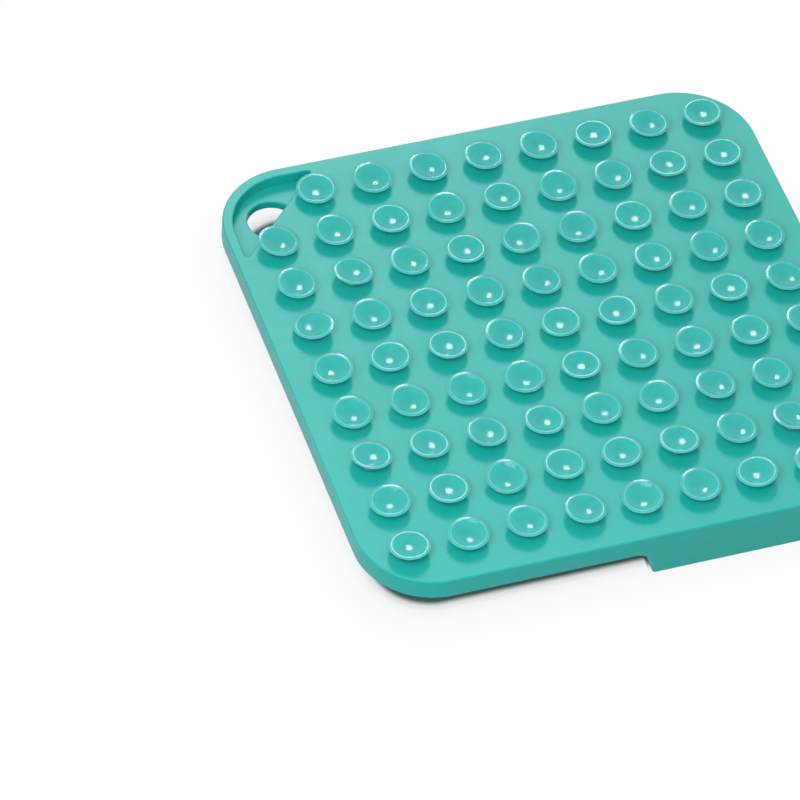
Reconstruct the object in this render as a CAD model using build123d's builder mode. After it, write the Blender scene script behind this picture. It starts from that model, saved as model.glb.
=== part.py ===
from build123d import *
import os
from math import atan2, cos, degrees, pi, sqrt

# Silicone lick mat, lying on its licking side with the suction cups up.
# Millimetres, +Z up. X runs from the shallow half to the deep half, and Y from the front edge to the back
# edge, whose left corner is the hanging corner. The origin is the middle of the footprint, on the floor.

# Sheet and border
mat_size = 200.0  # side of the square mat
corner_radius = 27.0  # rounding of the four corners, seen from above
sheet_thickness = 2.5  # sheet that carries the cups on one side and the lick textures on the other
rim_wall = 4.5  # width of the border wall
shallow_edge = 8.6  # border height of the left half, from the back face to its lip
deep_edge = 19.5  # border height of the right half
back_edge_break = 1.0  # bevel round the back face
rim_lip_break = 1.0  # bevel along the lips of both borders

# Step between the halves, and the wall that closes the deep half
step_foot_x = 0.0  # where the step meets the floor
step_lean = 2.5  # how far the step's face leans towards the shallow half
step_fillet = 6.0  # hollow rounding at the top of the step
step_nose = 1.0  # rounding where the step meets the floor
divider_thickness = 4.5  # thickness of the dividing wall at its lip

# Suction cups
cups_per_side = 9
cup_edge_distance = 16.0  # from the mat's edge to the centres of the outer cups
cup_lip_diameter = 14.5
cup_root_diameter = 7.2
cup_height = 3.6
cup_lip_width = 1.2  # flat ring round the dish
cup_dish_depth = 1.6
cup_dish_floor_diameter = 6.0
cup_facets = 16  # flat facets round each cup, which keep eighty cups light

# Hanging corner: a pocket in the back face, with a D-shaped hole through its floor
pocket_leg = 43.5  # distance along each edge, from the square corner to the pocket's straight side
pocket_depth = 4.5
tab_floor = 3.5  # thickness of the pocket's floor
tab_wall = 2.5  # thickness of the wall under the pocket's straight side
hang_hole_margin = 3.4  # floor left between the pocket's round side and the hole
hang_hole_ledge = 1.0  # floor left between the straight side and the hole's flat
hang_hole_rise = 1.7  # from the hole's flat to the centre of its round side
hang_hole_corner = 1.5  # rounding where the flat meets the round side

# Lick textures: three zones in each half, standing on the sheet and short of the border's lip
lick_clearance = 2.0  # least strip left bare between a zone and the walls round it
zone_gap = 7.0  # bare strip between two zones of one half
texture_draft = 6.0  # draft of the tapered textures, in degrees
shallow_texture_height = 2.2
deep_texture_height = 6.0

ridge_count = 7
ridge_width = 3.0
cross_columns = 5
cross_rows = 4
cross_span = 10.0
cross_bar = 3.0
stud_columns = 6
stud_rows = 5
stud_radius = 4.2  # out to a stud's corners
post_columns = 5
post_rows = 4
post_radius = 4.8  # out to a post's corners
chevron_columns = 2
chevron_rows = 5
chevron_half_span = 17.0
chevron_rise = 6.0
chevron_bar = 3.6
bar_columns = 3
bar_rows = 5
bar_length = 18.0
bar_width = 3.6

# Heights and outlines that follow from the sizes above
half = mat_size / 2
back_face = deep_edge
sheet_bottom = back_face - sheet_thickness
shallow_lip = back_face - shallow_edge
inner_size = mat_size - 2 * rim_wall
inner_radius = corner_radius - rim_wall
notch_x = step_foot_x - step_lean
step_end_x = notch_x - step_fillet
divider_inner_x = step_foot_x + divider_thickness
cup_span = mat_size - 2 * cup_edge_distance
cup_pitch = cup_span / (cups_per_side - 1)
cup_dish_diameter = cup_lip_diameter - 2 * cup_lip_width

pocket_floor = back_face - pocket_depth
tab_bottom = pocket_floor - tab_floor
tab_leg = pocket_leg + tab_wall * sqrt(2)
hole_flat_leg = pocket_leg - hang_hole_ledge * sqrt(2)
hole_centre_leg = hole_flat_leg - hang_hole_rise * sqrt(2)
pocket_corner_reach = corner_radius * sqrt(2) - inner_radius  # from the square corner, along its diagonal
hang_hole_radius = hole_centre_leg / sqrt(2) - pocket_corner_reach - hang_hole_margin

# A zone is a rectangle that fits inside the rounded corners of its half
zone_inset = lick_clearance + inner_radius * (1 - sqrt(0.5))
zone_reach = half - rim_wall - zone_inset
shallow_zone_x = (-zone_reach, step_end_x - lick_clearance)
deep_zone_x = (divider_inner_x + lick_clearance, zone_reach)
zone_depth = (2 * zone_reach - 2 * zone_gap) / 3
front_zone_y = (-zone_reach, -zone_reach + zone_depth)
middle_zone_y = (-zone_depth / 2, zone_depth / 2)
back_zone_y = (zone_reach - zone_depth, zone_reach)

lick_plane = Plane.XY.offset(sheet_bottom)


def even_places(span, count):
    """Middles of count equal shares of a span."""
    low, high = span
    share = (high - low) / count
    return [low + (index + 0.5) * share for index in range(count)]


def grid_places(x_span, y_span, columns, rows):
    """Centres of a grid of columns and rows that fills a zone."""
    return [(x, y) for y in even_places(y_span, rows) for x in even_places(x_span, columns)]


def clear_of_corner(places, leg, reach):
    """The places that lie at least reach away from a 45 degree cut across the hanging corner."""
    limit = mat_size - leg - reach * sqrt(2)
    return [(x, y) for x, y in places if y - x <= limit]


def corner_outline(leg):
    """Adds to a sketch the part of the inner outline that lies beyond a 45 degree cut across the corner."""
    RectangleRounded(inner_size, inner_size, inner_radius)
    Polygon((-half, half), (-half, half - leg), (-half + leg, half), align=None, mode=Mode.INTERSECT)


def border_outline():
    """Adds to a sketch the border, seen from above."""
    RectangleRounded(mat_size, mat_size, corner_radius)
    RectangleRounded(inner_size, inner_size, inner_radius, mode=Mode.SUBTRACT)


def step_profile(right_x):
    """Adds to an XZ sketch the section of the deep half, from the step's leaning face to right_x."""
    section = Polygon(
        (step_foot_x, 0),
        (right_x, 0),
        (right_x, sheet_bottom),
        (step_end_x, sheet_bottom),
        (step_end_x, shallow_lip),
        (notch_x, shallow_lip),
        align=None,
    )
    fillet(section.vertices().sort_by_distance((notch_x, shallow_lip))[0], step_fillet)
    fillet(section.vertices().sort_by_distance((step_foot_x, 0))[0], step_nose)


def flare_angle(low_diameter, high_diameter, height):
    """Lean in degrees of a cup's facets, which go from one diameter to the other over a height."""
    widening = (high_diameter - low_diameter) / 2 * cos(pi / cup_facets)
    return degrees(atan2(widening, height))


def tapered_stud(radius, sides, height):
    """A many-sided stud on the lick side of the sheet, narrower at its tip."""
    with BuildPart() as stud:
        with BuildSketch(lick_plane):
            RegularPolygon(radius, sides)
        extrude(amount=-height)
        draft(stud.faces().filter_by(Axis.Z, reverse=True), lick_plane, -texture_draft)
    return stud.part


def tapered_bar(length, width, height):
    """A straight bar on the lick side of the sheet, narrower at its tip."""
    with BuildPart() as bar:
        with BuildSketch(lick_plane):
            Rectangle(length, width)
        extrude(amount=-height)
        draft(bar.faces().filter_by(Axis.Z, reverse=True), lick_plane, -texture_draft)
    return bar.part


os.makedirs("parts", exist_ok=True)

# Base sheet, open over the hanging corner's pocket
with BuildPart() as base_sheet:
    with BuildSketch(Plane.XY.offset(sheet_bottom)):
        RectangleRounded(mat_size, mat_size, corner_radius)
    extrude(amount=sheet_thickness)
    chamfer(base_sheet.faces().sort_by(Axis.Z)[-1].edges(), back_edge_break)
    with BuildSketch(Plane.XY.offset(sheet_bottom)):
        corner_outline(pocket_leg)
    extrude(amount=sheet_thickness, mode=Mode.SUBTRACT)
base_sheet.part.label = "base_sheet"
export_step(base_sheet.part, "parts/base_sheet.step")

# Shallow border, up to the step
with BuildPart() as shallow_rim:
    with BuildSketch(Plane.XY.offset(shallow_lip)):
        border_outline()
        with Locations((step_end_x, 0)):
            Rectangle(mat_size, mat_size, align=(Align.MAX, Align.CENTER), mode=Mode.INTERSECT)
    extrude(amount=sheet_bottom - shallow_lip)
    shallow_lip_edges = shallow_rim.faces().sort_by(Axis.Z)[0].edges()
    chamfer(shallow_lip_edges.sort_by(Axis.X)[:-2], rim_lip_break)
shallow_rim.part.label = "shallow_rim"
export_step(shallow_rim.part, "parts/shallow_rim.step")

# Deep border, ending in the step on the front and back edges
with BuildPart() as deep_rim:
    with BuildSketch(Plane.XY):
        border_outline()
    extrude(amount=sheet_bottom)
    with BuildSketch(Plane.XZ):
        step_profile(half)
    extrude(amount=half, both=True, mode=Mode.INTERSECT)
    deep_lip_edges = deep_rim.faces().sort_by(Axis.Z)[0].edges()
    chamfer(deep_lip_edges.sort_by(Axis.X)[2:], rim_lip_break)
deep_rim.part.label = "deep_rim"
export_step(deep_rim.part, "parts/deep_rim.step")

# Dividing wall between the halves
with BuildPart() as divider_wall:
    with BuildSketch(Plane.XZ):
        step_profile(divider_inner_x)
    extrude(amount=half - rim_wall, both=True)
divider_wall.part.label = "divider_wall"
export_step(divider_wall.part, "parts/divider_wall.step")

# Hanging corner's floor and wall
with BuildPart() as hang_tab:
    with BuildSketch(Plane.XY.offset(tab_bottom)):
        corner_outline(tab_leg)
    extrude(amount=sheet_bottom - tab_bottom)
    with BuildSketch(Plane.XY.offset(pocket_floor)):
        corner_outline(pocket_leg)
    extrude(amount=sheet_bottom - pocket_floor, mode=Mode.SUBTRACT)
    with BuildSketch(Plane.XY.offset(tab_bottom)) as hang_hole:
        centre_reach = half - hole_centre_leg / 2
        with Locations((-centre_reach, centre_reach)):
            Circle(hang_hole_radius)
        Polygon(
            (-half, half),
            (-half, half - hole_flat_leg),
            (-half + hole_flat_leg, half),
            align=None,
            mode=Mode.INTERSECT,
        )
        fillet(hang_hole.vertices(), hang_hole_corner)
    extrude(amount=tab_floor, mode=Mode.SUBTRACT)
hang_tab.part.label = "hang_tab"
export_step(hang_tab.part, "parts/hang_tab.step")

# The hollow of a suction cup's dished face
with BuildPart() as cup_dish:
    dish_floor = Plane.XY.offset(back_face + cup_height - cup_dish_depth)
    with BuildSketch(dish_floor):
        RegularPolygon(cup_dish_floor_diameter / 2, cup_facets)
    extrude(amount=cup_dish_depth)
    dish_angle = flare_angle(cup_dish_floor_diameter, cup_dish_diameter, cup_dish_depth)
    draft(cup_dish.faces().filter_by(Axis.Z, reverse=True), dish_floor, -dish_angle)

# One suction cup, flared from its root to the thin edge of its lip
with BuildPart() as suction_cup:
    cup_root = Plane.XY.offset(back_face)
    with BuildSketch(cup_root):
        RegularPolygon(cup_root_diameter / 2, cup_facets)
    extrude(amount=cup_height)
    root_angle = flare_angle(cup_root_diameter, cup_lip_diameter, cup_height)
    draft(suction_cup.faces().filter_by(Axis.Z, reverse=True), cup_root, -root_angle)
    add(cup_dish.part, mode=Mode.SUBTRACT)

# Rows of cups, from the back edge to the front, with no cup rooted over the pocket
for row in range(cups_per_side):
    row_y = cup_span / 2 - row * cup_pitch
    row_places = [(column * cup_pitch - cup_span / 2, row_y) for column in range(cups_per_side)]
    row_name = f"suction_cup_row_{row + 1}"
    with BuildPart() as cup_row:
        with Locations(*clear_of_corner(row_places, pocket_leg, cup_root_diameter / 2)):
            add(suction_cup.part)
    cup_row.part.label = row_name
    export_step(cup_row.part, f"parts/{row_name}.step")

# Long ridges, in front in the shallow half
ridge_length = shallow_zone_x[1] - shallow_zone_x[0]
lick_ridge = tapered_bar(ridge_length, ridge_width, shallow_texture_height)
with BuildPart() as lick_ridges:
    with Locations(*grid_places(shallow_zone_x, front_zone_y, 1, ridge_count)):
        add(lick_ridge)
lick_ridges.part.label = "lick_ridges"
export_step(lick_ridges.part, "parts/lick_ridges.step")

# Crosses, in the middle of the shallow half
with BuildPart() as lick_crosses:
    with BuildSketch(lick_plane):
        with Locations(*grid_places(shallow_zone_x, middle_zone_y, cross_columns, cross_rows)):
            Rectangle(cross_span, cross_bar)
            Rectangle(cross_bar, cross_span)
    extrude(amount=-shallow_texture_height)
lick_crosses.part.label = "lick_crosses"
export_step(lick_crosses.part, "parts/lick_crosses.step")

# Diamond studs, at the back of the shallow half, clear of the hanging corner
lick_stud = tapered_stud(stud_radius, 4, shallow_texture_height)
stud_places = grid_places(shallow_zone_x, back_zone_y, stud_columns, stud_rows)
with BuildPart() as lick_studs:
    with Locations(*clear_of_corner(stud_places, tab_leg, stud_radius + lick_clearance)):
        add(lick_stud)
lick_studs.part.label = "lick_studs"
export_step(lick_studs.part, "parts/lick_studs.step")

# Hexagonal posts, in front in the deep half
feeder_post = tapered_stud(post_radius, 6, deep_texture_height)
with BuildPart() as feeder_posts:
    with Locations(*grid_places(deep_zone_x, front_zone_y, post_columns, post_rows)):
        add(feeder_post)
feeder_posts.part.label = "feeder_posts"
export_step(feeder_posts.part, "parts/feeder_posts.step")

# Chevron walls, in the middle of the deep half
with BuildPart() as feeder_chevrons:
    with BuildSketch(lick_plane):
        chevron_foot = -(chevron_rise + chevron_bar) / 2
        with Locations(*grid_places(deep_zone_x, middle_zone_y, chevron_columns, chevron_rows)):
            Polygon(
                (-chevron_half_span, chevron_foot),
                (0, chevron_foot + chevron_rise),
                (chevron_half_span, chevron_foot),
                (chevron_half_span, chevron_foot + chevron_bar),
                (0, chevron_foot + chevron_rise + chevron_bar),
                (-chevron_half_span, chevron_foot + chevron_bar),
                align=None,
            )
    extrude(amount=-deep_texture_height)
feeder_chevrons.part.label = "feeder_chevrons"
export_step(feeder_chevrons.part, "parts/feeder_chevrons.step")

# Short bars at the back of the deep half, shifted to the two ends of their columns in turn
feeder_bar = tapered_bar(bar_length, bar_width, deep_texture_height)
bar_shift = ((deep_zone_x[1] - deep_zone_x[0]) / bar_columns - bar_length) / 2
bar_places = []
for bar_row, bar_y in enumerate(even_places(back_zone_y, bar_rows)):
    row_shift = bar_shift if bar_row % 2 else -bar_shift
    bar_places += [(bar_x + row_shift, bar_y) for bar_x in even_places(deep_zone_x, bar_columns)]
with BuildPart() as feeder_bars:
    with Locations(*bar_places):
        add(feeder_bar)
feeder_bars.part.label = "feeder_bars"
export_step(feeder_bars.part, "parts/feeder_bars.step")
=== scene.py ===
"""Looks of a silicone lick mat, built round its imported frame.

The mat lies on its licking side with the suction cups up. All lengths are metres in the frame of the CAD
model: +Z up, X from the shallow half to the deep half, Y from the front edge to the back edge.
"""
import logging
import math
import random
from collections.abc import Callable, Iterable
from dataclasses import dataclass
from enum import Enum
from typing import Any

import bmesh
import bpy
from bpy.types import Material, NodeSocket, NodeTree, Object
from mathutils import Matrix, Vector


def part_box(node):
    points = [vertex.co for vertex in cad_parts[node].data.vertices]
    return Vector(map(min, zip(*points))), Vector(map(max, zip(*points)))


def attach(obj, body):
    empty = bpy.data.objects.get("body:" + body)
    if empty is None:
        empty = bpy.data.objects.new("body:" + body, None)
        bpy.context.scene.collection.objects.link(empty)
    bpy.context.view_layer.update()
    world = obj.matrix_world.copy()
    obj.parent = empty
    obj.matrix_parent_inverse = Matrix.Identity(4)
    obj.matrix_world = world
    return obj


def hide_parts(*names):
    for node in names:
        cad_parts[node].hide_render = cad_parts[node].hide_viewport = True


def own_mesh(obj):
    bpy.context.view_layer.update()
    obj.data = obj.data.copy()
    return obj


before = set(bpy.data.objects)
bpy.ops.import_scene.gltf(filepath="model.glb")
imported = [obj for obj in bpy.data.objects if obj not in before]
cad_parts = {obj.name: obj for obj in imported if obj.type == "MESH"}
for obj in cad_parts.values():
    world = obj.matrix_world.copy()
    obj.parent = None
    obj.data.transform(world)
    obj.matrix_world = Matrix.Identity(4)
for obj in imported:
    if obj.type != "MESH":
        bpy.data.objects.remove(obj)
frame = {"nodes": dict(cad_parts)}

log = logging.getLogger("lick_mat")
logging.basicConfig(level=logging.INFO, format="%(name)s: %(message)s")

Colour = tuple[float, float, float, float]
Pairs = tuple[tuple[float, float], ...]
Edge = bmesh.types.BMEdge

MAT_BODY = "mat"
ROOT_TWO = math.sqrt(2)
HAIR = 1e-5  # the least difference between two places that are told apart
MAT_CORNER = 0.027  # radius of the mat's four corners
TO_HANG_CORNER = Vector((-1.0, 1.0, 0.0)).normalized()  # direction of the corner with the hanging hole
LIP_HIGHLIGHT_MARK = "thin_edge"  # attribute of a mesh that marks where its thin edges get a painted highlight and glow
WHITE = (1.0, 1.0, 1.0, 1.0)


class Slot(Enum):
    """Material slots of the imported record."""

    MAT = "mat_silicone"
    CUP = "cup_silicone"


class Axis(Enum):
    """Directions of the frame, as unit vectors."""

    X = (1.0, 0.0, 0.0)
    Y = (0.0, 1.0, 0.0)
    Z = (0.0, 0.0, 1.0)


class Element(Enum):
    """Kinds of elements of a mesh, with the names of their lists."""

    VERT = "verts"
    EDGE = "edges"
    FACE = "faces"


class Bench:
    """The modelling bench: one object at a time, shaped by operators and selections made by place."""

    @staticmethod
    def clear() -> None:
        """Leaves edit mode and deselects every object."""
        if bpy.context.object and bpy.context.object.mode != "OBJECT":
            bpy.ops.object.mode_set(mode="OBJECT")
        bpy.ops.object.select_all(action="DESELECT")

    @staticmethod
    def take(piece: Object) -> None:
        """Makes a piece the only selected object and the active one."""
        Bench.clear()
        piece.select_set(True)
        bpy.context.view_layer.objects.active = piece

    @staticmethod
    def edit(piece: Object) -> None:
        """Opens a piece in edit mode with all of it selected."""
        Bench.take(piece)
        bpy.ops.object.mode_set(mode="EDIT")
        bpy.ops.mesh.select_all(action="SELECT")

    @staticmethod
    def close() -> None:
        """Goes back to object mode."""
        bpy.ops.object.mode_set(mode="OBJECT")

    @staticmethod
    def block(name: str, low: Iterable[float], high: Iterable[float]) -> Object:
        """Adds a cube that fills a box.

        Args:
            name: Name of the new object.
            low: Lowest corner.
            high: Highest corner.

        Returns:
            The object, at the origin and with its place in its mesh.
        """
        Bench.clear()
        low, high = Vector(low), Vector(high)
        bpy.ops.mesh.primitive_cube_add(size=1.0, location=(low + high) / 2, scale=high - low)
        return Bench.settle(name)

    @staticmethod
    def prism(name: str, sides: int, radius: float, low_z: float, high_z: float) -> Object:
        """Adds an upright prism round the Z axis.

        Args:
            name: Name of the new object.
            sides: Number of its side faces.
            radius: Distance from the axis to its corners.
            low_z: Height of its lower face.
            high_z: Height of its upper face.

        Returns:
            The object, at the origin and with its place in its mesh.
        """
        Bench.clear()
        middle = (0.0, 0.0, (low_z + high_z) / 2)
        bpy.ops.mesh.primitive_cylinder_add(
            vertices=sides, radius=radius, depth=high_z - low_z, location=middle
        )
        return Bench.settle(name)

    @staticmethod
    def settle(name: str) -> Object:
        """Names the active object and moves its place and size into its mesh.

        Args:
            name: The name it gets.

        Returns:
            The active object.
        """
        piece = bpy.context.object
        piece.name = name
        piece.data.name = name
        bpy.ops.object.transform_apply(location=True, rotation=True, scale=True)
        return piece

    @staticmethod
    def pick(piece: Object, kind: Element, test: Callable[[Any], bool]) -> None:
        """Selects, in edit mode, the elements that pass a test, and nothing else.

        Args:
            piece: The object in edit mode.
            kind: Whether vertices, edges or faces are selected.
            test: Takes an element.
        """
        bpy.ops.mesh.select_mode(type=kind.name)
        bpy.ops.mesh.select_all(action="DESELECT")
        mesh = bmesh.from_edit_mesh(piece.data)
        mesh.normal_update()
        for element in getattr(mesh, kind.value):
            element.select_set(test(element))
        mesh.select_flush_mode()
        bmesh.update_edit_mesh(piece.data)

    @staticmethod
    def round_edges(piece: Object, test: Callable[[Edge], bool], radius: float, facets: int) -> None:
        """Rounds the edges that pass a test.

        Args:
            piece: The piece, in object mode.
            test: Takes an edge.
            radius: How far from the edge the rounding starts, on each face.
            facets: Number of facets across the rounding.
        """
        Bench.edit(piece)
        Bench.pick(piece, Element.EDGE, test)
        bpy.ops.mesh.bevel(
            offset_type="OFFSET",
            offset=radius,
            segments=facets,
            profile=0.5,
            affect="EDGES",
            clamp_overlap=True,
        )
        Bench.close()

    @staticmethod
    def cut(piece: Object, cutter: Object) -> None:
        """Takes a cutter's volume out of a piece and deletes the cutter.

        Args:
            piece: The piece that is cut.
            cutter: A closed mesh.
        """
        Bench.take(piece)
        carve = piece.modifiers.new("carve", "BOOLEAN")
        carve.operation = "DIFFERENCE"
        carve.solver = "EXACT"
        carve.object = cutter
        bpy.ops.object.modifier_apply(modifier=carve.name)
        Bench.discard(cutter)

    @staticmethod
    def keep_side(piece: Object, point: Iterable[float], outwards: Iterable[float]) -> None:
        """Cuts a piece by a plane, closes the cut and drops what lies beyond it.

        Args:
            piece: The piece that is cut.
            point: A point of the plane.
            outwards: The plane's normal, towards what is dropped.
        """
        Bench.edit(piece)
        bpy.ops.mesh.bisect(
            plane_co=tuple(point),
            plane_no=tuple(outwards),
            use_fill=True,
            clear_outer=True,
            clear_inner=False,
        )
        Bench.close()

    @staticmethod
    def smooth(piece: Object, angle: float) -> None:
        """Shades a piece smooth up to an angle.

        Args:
            piece: The finished piece.
            angle: Edges sharper than this stay sharp, in radians.
        """
        Bench.take(piece)
        bpy.ops.object.shade_smooth_by_angle(angle=angle)

    @staticmethod
    def copy_at(piece: Object, place: Iterable[float]) -> Object:
        """Copies a piece, with its own mesh, and moves the copy's mesh to a place.

        Args:
            piece: The model that is copied.
            place: Where the copy goes.

        Returns:
            The copy.
        """
        Bench.take(piece)
        bpy.ops.object.duplicate(linked=False)
        twin = bpy.context.object
        twin.location = Vector(place)
        bpy.ops.object.transform_apply(location=True, rotation=False, scale=False)
        return twin

    @staticmethod
    def join(name: str, pieces: list[Object]) -> Object:
        """Joins pieces into one object.

        Args:
            name: Name of the joined object.
            pieces: The pieces, which the joined object takes in.

        Returns:
            The joined object.
        """
        Bench.clear()
        for piece in pieces:
            piece.select_set(True)
        bpy.context.view_layer.objects.active = pieces[0]
        if len(pieces) > 1:
            bpy.ops.object.join()
        joined = bpy.context.object
        joined.name = name
        joined.data.name = name
        return joined

    @staticmethod
    def discard(piece: Object) -> None:
        """Deletes an object that has done its work."""
        bpy.data.objects.remove(piece, do_unlink=True)


@dataclass(frozen=True)
class MatFrame:
    """Heights and reaches of the mat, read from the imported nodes."""

    half: float  # half the side of the square
    inner_half: float  # half the side inside the border
    cup_lips: float  # height of the plane of the cup lips
    back_face: float  # height of the face that the cups stand on
    sheet_bottom: float  # height of the tray floors
    shallow_lip: float
    deep_lip: float
    step_end: float  # X where the shallow tray's wall begins
    divider_side: float  # X of the dividing wall, in the deep tray
    tab_bottom: float
    tab_line: float  # Y - X on the tab's straight wall, in the tray

    @classmethod
    def read(cls) -> "MatFrame":
        """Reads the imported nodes.

        Returns:
            The mat's heights and reaches.
        """
        sheet_low, sheet_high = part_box("base_sheet")
        shallow_low, shallow_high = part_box("shallow_rim")
        deep_low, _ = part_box("deep_rim")
        _, divider_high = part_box("divider_wall")
        tab_low, tab_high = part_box("hang_tab")
        _, cups_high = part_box("suction_cup_row_1")
        return cls(
            half=sheet_high.x,
            inner_half=divider_high.y,
            cup_lips=cups_high.z,
            back_face=sheet_high.z,
            sheet_bottom=sheet_low.z,
            shallow_lip=shallow_low.z,
            deep_lip=deep_low.z,
            step_end=shallow_high.x,
            divider_side=divider_high.x,
            tab_bottom=tab_low.z,
            tab_line=tab_high.y - tab_high.x,
        )


class Wire:
    """A shader socket that takes part in arithmetic: each operation adds a Math node."""

    def __init__(self, desk: "NodeDesk", socket: NodeSocket) -> None:
        """Wraps a socket of a desk's node tree."""
        self.desk = desk
        self.socket = socket

    def _math(self, operation: str, first: Any, second: Any) -> "Wire":
        """Adds a Math node on two values and returns its result."""
        return self.desk.node("Math", {"operation": operation}, {0: first, 1: second})

    def __add__(self, other: Any) -> "Wire":
        """Sum of two values."""
        return self._math("ADD", self, other)

    def __radd__(self, other: Any) -> "Wire":
        """Sum with a plain number first."""
        return self._math("ADD", other, self)

    def __sub__(self, other: Any) -> "Wire":
        """Difference of two values."""
        return self._math("SUBTRACT", self, other)

    def __mul__(self, other: Any) -> "Wire":
        """Product of two values."""
        return self._math("MULTIPLY", self, other)


class NodeDesk:
    """Where a material's nodes are laid out."""

    def __init__(self, tree: NodeTree) -> None:
        """Empties a node tree and works on it."""
        self.tree = tree
        tree.nodes.clear()

    def node(
        self,
        kind: str,
        settings: dict[str, Any] | None = None,
        inputs: dict[str | int, Any] | None = None,
        output: str | int = 0,
    ) -> Wire:
        """Adds a shader node.

        Args:
            kind: The node's type, without the prefix that all shader nodes have.
            settings: Its properties, set first.
            inputs: Values or wires of its sockets, by name or number.
            output: The socket that is returned, by name or number.

        Returns:
            The wire of the asked output, or of the first input where there is no output.
        """
        made = self.tree.nodes.new(f"ShaderNode{kind}")
        for key, value in (settings or {}).items():
            setattr(made, key, value)
        for key, value in (inputs or {}).items():
            if isinstance(value, Wire):
                self.tree.links.new(value.socket, made.inputs[key])
            else:
                made.inputs[key].default_value = value
        return Wire(self, made.outputs[output] if len(made.outputs) else made.inputs[0])

    def ramp(self, value: Wire, stops: Pairs) -> Wire:
        """Maps a value to a grey.

        Args:
            value: The value, 0 to 1.
            stops: Pairs of a value and its grey, in order.

        Returns:
            The wire of the grey.
        """
        mapped = self.node("ValToRGB", {}, {"Fac": value})
        elements = mapped.socket.node.color_ramp.elements
        while len(elements) < len(stops):
            elements.new(1.0)
        for element, (place, grey) in zip(elements, stops):
            element.position = place
            element.color = (grey, grey, grey, 1.0)
        return mapped

    def eye_rays(self) -> Wire:
        """Tells the rays that bring a picture to the eye from those that only bring light.

        Returns:
            The wire of 1 for what is seen straight, mirrored or through something, and 0 for the rest.
        """
        seen, mirrored, through = (
            self.node("LightPath", output=f"Is {kind} Ray") for kind in ("Camera", "Glossy", "Transmission")
        )
        return seen + mirrored + through

    def mix(self, factor: Any, first: Any, second: Any) -> Wire:
        """Mixes two colours.

        Args:
            factor: Share of the second colour.
            first: Colour or wire.
            second: Colour or wire.

        Returns:
            The wire of the mixed colour.
        """
        return self.node(
            "Mix",
            {"data_type": "RGBA", "clamp_factor": True},
            {0: factor, 6: first, 7: second},
            output=2,
        )


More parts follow.
